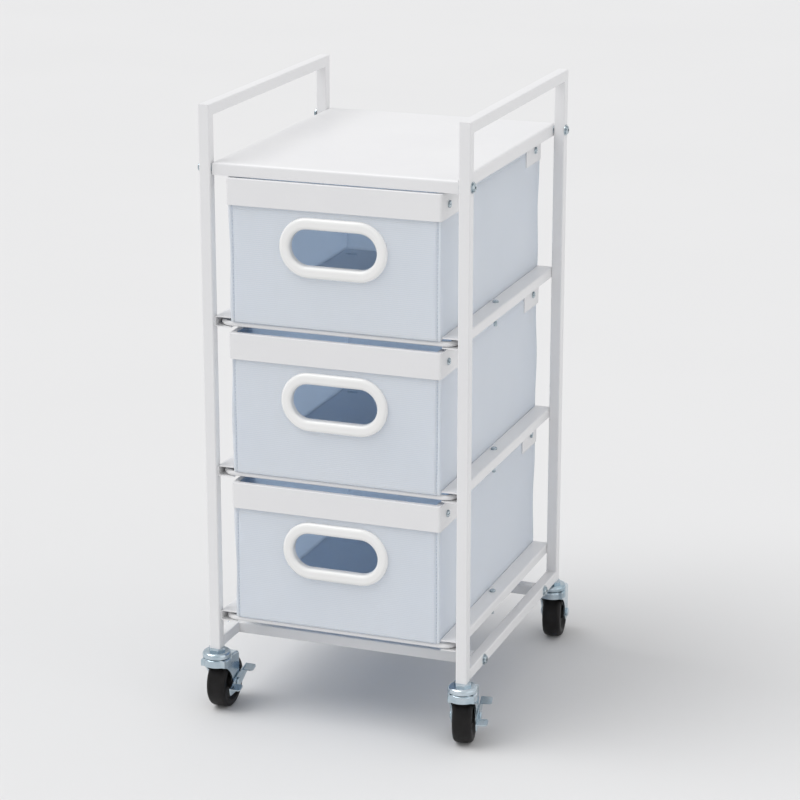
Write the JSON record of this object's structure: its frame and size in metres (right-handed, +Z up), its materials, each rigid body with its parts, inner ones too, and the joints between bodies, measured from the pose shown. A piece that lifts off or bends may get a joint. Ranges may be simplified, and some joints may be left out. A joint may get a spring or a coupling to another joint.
{
  "type": "mobile printer stand",
  "caption": "Narrow rolling stand: square-tube side frames with handles, a flat sheet-steel top, fabric drawers on sliding wire bases, and swivel casters with brake levers in front.",
  "frame": {"origin": "on the floor, under the middle of the whole outline with the casters as they stand; the middle of the frame is 16 mm in front of it", "axes": "+Z up, -Y towards the user (the drawers pull out that way), +X to the user's right"},
  "size_m": [0.3496, 0.4022, 0.698],
  "materials": {
    "white_powder_coat": "smooth satin powder coat",
    "bin_fabric": "matte woven cloth with fine horizontal ribs",
    "base_board": "cloth-covered board",
    "grip_plastic": "glossy moulded plastic",
    "zinc_plate": "bright bluish zinc plate",
    "bolt_steel": "zinc-plated steel",
    "insert_nylon": "black nylon",
    "wheel_black": "satin black, moulded in one piece"
  },
  "bodies": {
    "stand": {"caster_bearing_balls": "bolt_steel", "caster_race_cups": "zinc_plate", "caster_stems": "zinc_plate", "cross_bar_end_plugs": "bolt_steel", "frame_bolts": "bolt_steel", "front_cross_bar": "white_powder_coat", "left_bottom_bar": "white_powder_coat", "left_bottom_rail": "white_powder_coat", "left_front_post": "white_powder_coat", "left_middle_rail": "white_powder_coat", "left_rear_post": "white_powder_coat", "left_top_bar": "white_powder_coat", "left_top_rail": "white_powder_coat", "post_foot_inserts": "insert_nylon", "rail_stop_screws": "bolt_steel", "rear_cross_bar": "white_powder_coat", "right_bottom_bar": "white_powder_coat", "right_bottom_rail": "white_powder_coat", "right_front_post": "white_powder_coat", "right_middle_rail": "white_powder_coat", "right_rear_post": "white_powder_coat", "right_top_bar": "white_powder_coat", "right_top_rail": "white_powder_coat", "top_tray": "white_powder_coat", "tray_rivet_nuts": "bolt_steel"},
    "top_drawer": {"top_drawer_wire_base": "white_powder_coat", "top_drawer_fabric_bin": "bin_fabric", "top_drawer_base_panel": "base_board", "top_drawer_front_trim": "white_powder_coat", "top_drawer_rear_trim": "white_powder_coat", "top_drawer_grip_ring": "grip_plastic", "top_drawer_trim_screws": "bolt_steel"},
    "middle_drawer": {"middle_drawer_wire_base": "white_powder_coat", "middle_drawer_fabric_bin": "bin_fabric", "middle_drawer_base_panel": "base_board", "middle_drawer_front_trim": "white_powder_coat", "middle_drawer_rear_trim": "white_powder_coat", "middle_drawer_grip_ring": "grip_plastic", "middle_drawer_trim_screws": "bolt_steel"},
    "bottom_drawer": {"bottom_drawer_wire_base": "white_powder_coat", "bottom_drawer_fabric_bin": "bin_fabric", "bottom_drawer_base_panel": "base_board", "bottom_drawer_front_trim": "white_powder_coat", "bottom_drawer_rear_trim": "white_powder_coat", "bottom_drawer_grip_ring": "grip_plastic", "bottom_drawer_trim_screws": "bolt_steel"},
    "front_left_caster_swivel": {"front_left_caster_fork": "zinc_plate", "front_left_caster_axle": "zinc_plate"},
    "front_left_caster_wheel": {"front_left_caster_wheel": "wheel_black"},
    "front_left_caster_brake": {"front_left_caster_brake_lever": "zinc_plate"},
    "front_right_caster_swivel": {"front_right_caster_fork": "zinc_plate", "front_right_caster_axle": "zinc_plate"},
    "front_right_caster_wheel": {"front_right_caster_wheel": "wheel_black"},
    "front_right_caster_brake": {"front_right_caster_brake_lever": "zinc_plate"},
    "rear_left_caster_swivel": {"rear_left_caster_fork": "zinc_plate", "rear_left_caster_axle": "zinc_plate"},
    "rear_left_caster_wheel": {"rear_left_caster_wheel": "wheel_black"},
    "rear_right_caster_swivel": {"rear_right_caster_fork": "zinc_plate", "rear_right_caster_axle": "zinc_plate"},
    "rear_right_caster_wheel": {"rear_right_caster_wheel": "wheel_black"}
  },
  "joints": [
    {"name": "top_drawer_slide", "type": "slide", "parent": "stand", "child": "top_drawer", "axis": [0, -1, 0], "range_m": [0, 0.165]},
    {"name": "middle_drawer_slide", "type": "slide", "parent": "stand", "child": "middle_drawer", "axis": [0, -1, 0], "range_m": [0, 0.165]},
    {"name": "bottom_drawer_slide", "type": "slide", "parent": "stand", "child": "bottom_drawer", "axis": [0, -1, 0], "range_m": [0, 0.165]},
    {"name": "front_left_caster_turn", "type": "hinge", "parent": "stand", "child": "front_left_caster_swivel", "pos_m": [-0.14665, -0.18365, 0.07], "axis": [0, 0, 1], "continuous": true},
    {"name": "front_left_wheel_roll", "type": "hinge", "parent": "front_left_caster_swivel", "child": "front_left_caster_wheel", "pos_m": [-0.14683, -0.16365, 0.03], "axis": [1, 0.0087, 0], "continuous": true},
    {"name": "front_left_brake_press", "type": "hinge", "parent": "front_left_caster_swivel", "child": "front_left_caster_brake", "pos_m": [-0.14683, -0.16365, 0.03], "axis": [1, 0.0087, 0], "range_deg": [-25, 0]},
    {"name": "front_right_caster_turn", "type": "hinge", "parent": "stand", "child": "front_right_caster_swivel", "pos_m": [0.14665, -0.18365, 0.07], "axis": [0, 0, 1], "continuous": true},
    {"name": "front_right_wheel_roll", "type": "hinge", "parent": "front_right_caster_swivel", "child": "front_right_caster_wheel", "pos_m": [0.14283, -0.16402, 0.03], "axis": [0.9816, 0.1908, 0], "continuous": true},
    {"name": "front_right_brake_press", "type": "hinge", "parent": "front_right_caster_swivel", "child": "front_right_caster_brake", "pos_m": [0.14283, -0.16402, 0.03], "axis": [0.9816, 0.1908, 0], "range_deg": [-25, 0]},
    {"name": "rear_left_caster_turn", "type": "hinge", "parent": "stand", "child": "rear_left_caster_swivel", "pos_m": [-0.14665, 0.15165, 0.07], "axis": [0, 0, 1], "continuous": true},
    {"name": "rear_left_wheel_roll", "type": "hinge", "parent": "rear_left_caster_swivel", "child": "rear_left_caster_wheel", "pos_m": [-0.15479, 0.16992, 0.03], "axis": [0.9135, 0.4067, 0], "continuous": true},
    {"name": "rear_right_caster_turn", "type": "hinge", "parent": "stand", "child": "rear_right_caster_swivel", "pos_m": [0.14665, 0.15165, 0.07], "axis": [0, 0, 1], "continuous": true},
    {"name": "rear_right_wheel_roll", "type": "hinge", "parent": "rear_right_caster_swivel", "child": "rear_right_caster_wheel", "pos_m": [0.14421, 0.1715, 0.03], "axis": [0.9925, 0.1219, 0], "continuous": true}
  ]
}
